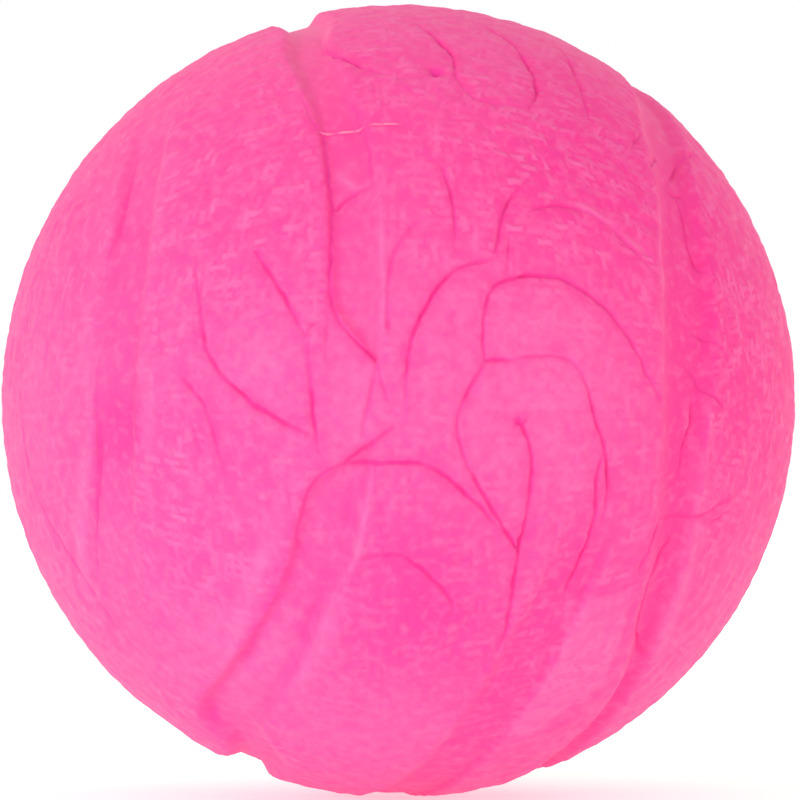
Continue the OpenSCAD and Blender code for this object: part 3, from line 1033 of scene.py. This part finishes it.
# %% Canvas grain on one side
# The pitch, the gap between threads and how far they stray, in mm
THREAD_PITCH = 0.88
THREAD_GAP = 0.33
THREAD_STRAY = 0.6
# For threads across and up: a shift in pitches, and a bias, the lower the fewer threads stand up
ACROSS = (0.5, -0.2)
RISING = (1.5, -0.27)
BLACK = (0, 0, 0, 1)
WHITE = (1, 1, 1, 1)


def woven_side(tree, axes, away, along, up):
    """The weave on the two sides that face along the axis away."""
    depth = add(tree, MATH, axes[away], operation="ABSOLUTE")
    ways = []
    for axis in (along, up):
        angle = add(tree, MATH, axes[axis], depth, operation="ARCTAN2")
        ways.append(add(tree, MATH, angle, BALL_R / MM, operation="MULTIPLY"))
    threads = []
    for (first, second), (shift, bias) in ((ways, ACROSS), (reversed(ways), RISING)):
        shifted = add(tree, MATH, first, shift * THREAD_PITCH, operation="ADD")
        flat = add(tree, "ShaderNodeCombineXYZ", shifted, second)
        threads.append(add(tree, "ShaderNodeTexBrick", {
            "Vector": flat, "Scale": 1.0, "Mortar Size": THREAD_GAP, "Mortar Smooth": 1.0,
            "Brick Width": 2 * THREAD_PITCH, "Row Height": THREAD_PITCH,
            "Color1": BLACK, "Color2": WHITE, "Mortar": BLACK, "Bias": bias,
        }, offset=0.5))
    return joined(tree, MATH, threads, operation="MAXIMUM")


print(f"threads every {THREAD_PITCH} mm, with gaps of {THREAD_GAP} mm")

# %% Canvas grain all round
# A side's share falls from 1 to 0 across the edge between two sides, in mm
SIDE_FADE = {"From Min": -0.6, "From Max": 0.6}
# Noises per thread pitch, and how far wear takes a thread's height down and up
STRAY_PER_PITCH = 0.75
WEAR_PER_PITCH = 0.5
WEAR = {"From Min": 0.33, "From Max": 0.6, "To Min": 0.3, "To Max": 1.8}


def canvas_group():
    tree = bpy.data.node_groups.new("canvas grain", "ShaderNodeTree")
    tree.interface.new_socket("Height", in_out="OUTPUT", socket_type="NodeSocketFloat")
    coords = add(tree, "ShaderNodeTexCoord").outputs["Object"]
    mm = add(tree, VECTOR, coords, {"Scale": 1 / MM}, operation="SCALE")
    moved = jittered(tree, mm, mm, STRAY_PER_PITCH / THREAD_PITCH, THREAD_STRAY)
    axes = add(tree, "ShaderNodeSeparateXYZ", moved).outputs
    plain = add(tree, "ShaderNodeSeparateXYZ", mm).outputs
    facing = [add(tree, MATH, axis, operation="ABSOLUTE") for axis in plain]
    sides = []
    for away, along, up in ((1, 0, 2), (0, 1, 2), (2, 0, 1)):
        shares = [woven_side(tree, axes, away, along, up)]
        for other in (along, up):
            lead = add(tree, MATH, facing[away], facing[other], operation="SUBTRACT")
            shares.append(add(tree, RANGE, lead, SIDE_FADE))
        sides.append(joined(tree, MATH, shares, operation="MULTIPLY"))
    weave = joined(tree, MATH, sides, operation="ADD")
    # Each thread's height is its own, and the mould is worn, so the threads come and go
    wear = add(tree, NOISE, {"Vector": mm, "Scale": WEAR_PER_PITCH / THREAD_PITCH, "Detail": 1.0})
    wear = add(tree, RANGE, wear, WEAR)
    height = add(tree, MATH, weave, wear, operation="MULTIPLY")
    add(tree, "NodeGroupOutput", {"Height": height})
    print(f"canvas grain: {len(tree.nodes)} nodes")
    return tree


canvas = canvas_group()

# %% [markdown]
# The pink is mixed in steps, each of which lays one tint over the last by a share. A painted picture would
# give it in one step, but the shares of the relief are there already, and so the tints stay with the
# shapes.

# %% Pigment
# Clouds of pigment, and the fine mottling of the skin of foamed rubber, floors and all, in mm
CLOUD_SIZE = 6
MOTTLE_SIZE = 0.9
CLOUD = {"From Min": 0.3, "From Max": 0.7}
PALE_MARK = {"From Min": 0.5, "From Max": 0.72}
DEEP_MARK = {"From Min": 0.5, "From Max": 0.28}


def pigment(tree, mm, shares, grain, flash_share):
    """The colour of the rubber, with painted shade in its hollows and a painted highlight on raised lips
    and threads. flash_share is how much of the flash is pale.
    """
    cloud = add(tree, NOISE, {"Vector": mm, "Scale": 1 / CLOUD_SIZE, "Detail": 2.0})
    cloud = add(tree, RANGE, cloud, CLOUD)
    mottle = add(tree, NOISE, {"Vector": mm, "Scale": 1 / MOTTLE_SIZE, "Detail": 1.0})
    pale_mark = add(tree, RANGE, mottle, PALE_MARK)
    deep_mark = add(tree, RANGE, mottle, DEEP_MARK)
    paler = add(tree, MATH, shares["tone_and_shading"], -1.0, operation="MULTIPLY")
    colour = PANEL_PINK
    for share, tint, weight in (
        # Tone is partly the pink and partly painted shade and light, and clouds are the pink's own
        (cloud, DEEP_PINK, 0.4), (shares["tone_and_shading"], DEEP_PINK, 1.0), (paler, PALE_PINK, 0.6),
        # Shade is painted shade on the channel floors, and the marks are the skin's own mottling
        (shares["shade"], DEEP_PINK, 1.0), (pale_mark, PALE_PINK, 0.3), (deep_mark, CREASE_PINK, 0.35),
        # Grain and lip paint a highlight on raised threads and ridges, roll paints shade on crease
        # shoulders
        (grain, PALE_PINK, 0.65), (shares["lip"], PALE_PINK, 0.6), (shares["roll"], DEEP_PINK, 0.5),
        # Crease paints the shade and the light passed from wall to wall in the creases
        (shares["crease"], CREASE_PINK, 0.9), (shares["flash"], FLASH_PINK, flash_share),
    ):
        weighed = add(tree, MATH, share, weight, operation="MULTIPLY", use_clamp=True)
        mixed = add(tree, "ShaderNodeMix", {"Factor": weighed, 6: colour, 7: tint}, data_type="RGBA")
        colour = mixed.outputs[2]
    return colour


print(f"pigment clouds {CLOUD_SIZE} mm and marks {MOTTLE_SIZE} mm wide")

# %% Foamed rubber, moulded
GRAIN_H = 0.07 * MM
# Foam cells at the skin give a fine tooth under the grain: cells per mm, and their part of its height
CELLS_PER_MM = 3.0
CELL_PART = 0.15
PANEL_TO_FLOOR_ROUGHNESS = {"To Min": 0.68, "To Max": 0.55}


def material(name):
    made = bpy.data.materials.new(name)
    made.use_nodes = True
    made.node_tree.nodes.clear()
    return made, made.node_tree


def foamed_rubber(name, flash_share):
    """Moulded foamed rubber: to the eye a matte pink, with canvas grain on the panels and smooth floors."""
    made, tree = material(name)
    shares = {}
    for share in ("floor", "shade", "flash", "crease", "roll", "lip", "tone_and_shading", "grain"):
        shares[share] = add(tree, "ShaderNodeAttribute", attribute_name=share).outputs["Fac"]
    coords = add(tree, "ShaderNodeTexCoord").outputs["Object"]
    mm = add(tree, VECTOR, coords, {"Scale": 1 / MM}, operation="SCALE")
    weave = add(tree, "ShaderNodeGroup", node_tree=canvas)
    panel = add(tree, MATH, 1.0, shares["floor"], operation="SUBTRACT")
    uncut = add(tree, MATH, 1.0, shares["crease"], operation="SUBTRACT", use_clamp=True)
    grain = joined(tree, MATH, [panel, uncut, shares["grain"], weave], operation="MULTIPLY")
    cells = add(tree, NOISE, {"Vector": mm, "Scale": CELLS_PER_MM, "Detail": 2.0})
    cells = add(tree, MATH, cells, CELL_PART, operation="MULTIPLY")
    height = add(tree, MATH, grain, cells, operation="ADD")
    shader = add(tree, "ShaderNodeBsdfPrincipled", {
        "Base Color": pigment(tree, mm, shares, grain, flash_share),
        "Roughness": add(tree, RANGE, shares["floor"], PANEL_TO_FLOOR_ROUGHNESS),
        "Normal": add(tree, "ShaderNodeBump", {"Strength": 1.0, "Distance": GRAIN_H, "Height": height}),
        "IOR": 1.5, "Sheen Weight": 0.08, "Sheen Tint": linear("#ffe4cc"),
    })
    add(tree, "ShaderNodeOutputMaterial", {"Surface": shader})
    print(f"{name}: {len(tree.nodes)} nodes")
    return made


skin_rubber = foamed_rubber("moulded foamed rubber", flash_share=0.0)
bond_rubber = foamed_rubber("trimmed rubber flash", flash_share=0.5)

# %% [markdown]
# Now the tree presses the relief into the two skins and the bond. It could stay on them as a modifier, but
# the pieces are handed on as plain meshes, so its result becomes the mesh. Only the bond has flash to stand
# up.

# %% Press the relief into the blanks
FLASH_H = 0.1 * MM
lines = {"Crease lines": line_object("crease_lines", creases), "Lip lines": line_object("lip_lines", lips)}
for piece, finish, flash_h in (
    (upper_skin, skin_rubber, 0.0), (lower_skin, skin_rubber, 0.0), (bond, bond_rubber, FLASH_H),
):
    run_tree(relief, piece, {**RELIEF, **lines, "Finish": finish, "Flash height": flash_h})
    radii = np.array([vertex.co.length for vertex in piece.data.vertices]) / MM
    print(f"{piece.name}: radii {radii.min():.2f} to {radii.max():.2f} mm")
for line in lines.values():
    bpy.data.objects.remove(line)

# %% [markdown]
# The core is a ball of open soft foam that fills the cavity. It is sealed in, and a plain ball would do,
# but it is still a piece on the bench. So it gets the shallow round cells that moulded foam shows: a tree
# dents a fine ball by a cell pattern.

# %% Foam cells
CELL_DENT = {"From Min": 0.6, "From Max": 0.05}


def foam_tree():
    tree, given = start_tree("foam cells", (), ("Cell size", "Cell depth"))
    place = add(tree, "GeometryNodeInputPosition")
    out = add(tree, VECTOR, place, operation="NORMALIZE")
    scale = add(tree, MATH, 1.0, given["Cell size"], operation="DIVIDE")
    cell = add(tree, "ShaderNodeTexVoronoi", {"Vector": place, "Scale": scale}, feature="SMOOTH_F1")
    dent = add(tree, RANGE, cell.outputs["Distance"], CELL_DENT)
    depth = add(tree, MATH, dent, given["Cell depth"], operation="MULTIPLY")
    end_tree(tree, given, {"dent": dent}, out, depth)
    return tree


foam = foam_tree()

# %% Open-cell foam
PORE_SIZE = 0.5 * MM
PORE_DEPTH = 0.1 * MM


def open_foam():
    """Open-cell foam: to the eye matte and paler than the skin, with darker cell bottoms that are painted
    shade.
    """
    made, tree = material("open-cell scented foam")
    dent = add(tree, "ShaderNodeAttribute", attribute_name="dent").outputs["Fac"]
    mixed = add(tree, "ShaderNodeMix", {"Factor": dent, 6: FOAM_PINK, 7: PANEL_PINK}, data_type="RGBA")
    coords = add(tree, "ShaderNodeTexCoord").outputs["Object"]
    pores = add(tree, "ShaderNodeTexVoronoi", {"Vector": coords, "Scale": 1 / PORE_SIZE})
    bump = add(tree, "ShaderNodeBump", {"Strength": 0.8, "Distance": PORE_DEPTH, "Height": pores})
    shader = add(tree, "ShaderNodeBsdfPrincipled", {
        "Base Color": mixed.outputs[2], "Roughness": 0.9, "Normal": bump,
    })
    add(tree, "ShaderNodeOutputMaterial", {"Surface": shader})
    print(f"{made.name}: {len(tree.nodes)} nodes")
    return made


core_finish = open_foam()

# %% Foam core
CORE_DIVISIONS = 7
CELLS = {"Cell size": 1.6 * MM, "Cell depth": 0.25 * MM}

core_mesh = bpy.data.meshes.new("foam_core")
core_shape = bmesh.new()
bmesh.ops.create_icosphere(core_shape, subdivisions=CORE_DIVISIONS, radius=CORE_R)
for face in core_shape.faces:
    face.smooth = True
core_shape.to_mesh(core_mesh)
core_shape.free()
core = in_scene("foam_core", core_mesh)
run_tree(foam, core, {**CELLS, "Finish": core_finish})
print(f"foam_core: {len(core.data.polygons)} triangles")

# %% [markdown]
# Each piece now stands for its solid and moves with the one body. The pieces could be joined, but on their
# own they can be taken apart and swapped.

# %% Hand the pieces to the frame
for piece, node, slot in (
    (upper_skin, "upper_half_skin", "skin_rubber"), (lower_skin, "lower_half_skin", "skin_rubber"),
    (bond, "bond_line", "bond_rubber"), (core, "scented_core", "core_foam"),
):
    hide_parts(node)
    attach(piece, "root")
    print(f"{piece.name} stands for {node}, in {slot}")

# %% [markdown]
# The ball rests on a white sheet that is lit from beneath, as on a light table. A plain white floor would
# go grey at the edges of the picture. This one stays white there and still keeps the ball's shadow.

# %% Floor
FLOOR_SIZE = 3.0


def light_table():
    """White acrylic sheet, lit from beneath: to the eye an even white that takes a soft shadow."""
    made, tree = material("white light table")
    shader = add(tree, "ShaderNodeBsdfPrincipled", {
        "Base Color": linear("#f5f4f2"), "Roughness": 0.9, "Specular IOR Level": 0.1,
        "Emission Color": linear("#fffaf0"), "Emission Strength": 0.5,
    })
    add(tree, "ShaderNodeOutputMaterial", {"Surface": shader})
    return made


floor_mesh = bpy.data.meshes.new("floor")
half_floor = FLOOR_SIZE / 2
floor_corners = [(x * half_floor, y * half_floor, -BALL_R) for x, y in ((-1, -1), (1, -1), (1, 1), (-1, 1))]
floor_mesh.from_pydata(floor_corners, [], [(0, 1, 2, 3)])
floor_mesh.materials.append(light_table())
floor_object = in_scene("floor", floor_mesh)
print(f"floor {FLOOR_SIZE} m wide, {BALL_R / MM:.1f} mm below the middle of the ball")

# %% [markdown]
# The light is soft and comes from all sides, with one large box to the left of the camera. Lamps alone
# would need many boxes for that, so the surroundings give most of it. They are white to the camera and in
# gloss, and light the ball a little less from above and from the right.

# %% Surroundings


def white_world(walls, ceiling, right, behind):
    """White to the camera and in gloss. It lights with walls from the sides, with ceiling from above, with
    the share right from +X, and in the colour behind from +Y."""
    world = bpy.data.worlds.new("white surroundings")
    world.use_nodes = True
    tree = world.node_tree
    tree.nodes.clear()
    path = add(tree, "ShaderNodeLightPath").outputs
    shown = path["Is Camera Ray"]
    for ray in ("Is Glossy Ray", "Is Transmission Ray"):
        shown = add(tree, MATH, shown, path[ray], operation="MAXIMUM")
    way = add(tree, "ShaderNodeSeparateXYZ", add(tree, "ShaderNodeTexCoord").outputs["Generated"])
    strength = add(tree, RANGE, way.outputs["Z"], {"To Min": walls, "To Max": ceiling})
    share = add(tree, RANGE, way.outputs["X"], {"From Min": -1.0, "To Min": 1.0, "To Max": right})
    strength = add(tree, MATH, strength, share, operation="MULTIPLY")
    back = add(tree, RANGE, way.outputs["Y"], {"From Min": -1.0})
    tint = add(tree, "ShaderNodeMix", {"Factor": back, 6: WHITE, 7: behind}, data_type="RGBA").outputs[2]
    light = add(tree, "ShaderNodeBackground", {"Color": tint, "Strength": strength})
    seen = add(tree, "ShaderNodeBackground", {"Color": WHITE, "Strength": 1.0})
    mixed = add(tree, "ShaderNodeMixShader", shown, light, seen)
    add(tree, "ShaderNodeOutputWorld", {"Surface": mixed})
    bpy.context.scene.world = world
    print(f"{world.name}: {len(tree.nodes)} nodes")


white_world(walls=1.0, ceiling=0.8, right=0.89, behind=linear("#fff8e6"))

# %% Soft box


def soft_box(name, place, side, power):
    lamp = bpy.data.lights.new(name, "AREA")
    lamp.shape = "SQUARE"
    lamp.size = side
    lamp.energy = power
    box = in_scene(name, lamp)
    box.location = place
    box.rotation_mode = "QUATERNION"
    box.rotation_quaternion = (-Vector(place)).to_track_quat("-Z", "Y")
    print(f"{name}: {power} W, {side} m wide, {Vector(place).length:.2f} m away")


soft_box("key_light", place=(-0.5, -0.6, 0.0), side=0.5, power=2.4)

# %% [markdown]
# The camera looks level along +Y, and the ball fills the frame. From close by, a ball hides its own sides.
# So the camera stands sixteen radii away with a long lens. The ball's middle sits a little left of and
# below the middle of the picture.

# %% Camera
CAMERA_RADII = 16
BALL_PX = 397.2
PICTURE_PX = 800
OFF_CENTRE_PX = (1.6, 1.1)
SENSOR_WIDTH = 36

camera_data = bpy.data.cameras.new("camera")
camera = in_scene("camera", camera_data)
distance = CAMERA_RADII * BALL_R
px_per_tangent = BALL_PX / math.tan(math.asin(1 / CAMERA_RADII))
camera_data.sensor_width = SENSOR_WIDTH
camera_data.lens = SENSOR_WIDTH * px_per_tangent / PICTURE_PX
metres_per_px = distance / px_per_tangent
camera.location = (OFF_CENTRE_PX[0] * metres_per_px, -distance, OFF_CENTRE_PX[1] * metres_per_px)
camera.rotation_euler = (math.pi / 2, 0, 0)
bpy.context.scene.camera = camera
bpy.context.scene.view_settings.view_transform = "Standard"
print(f"camera {distance / MM:.0f} mm away with a {camera_data.lens:.0f} mm lens")
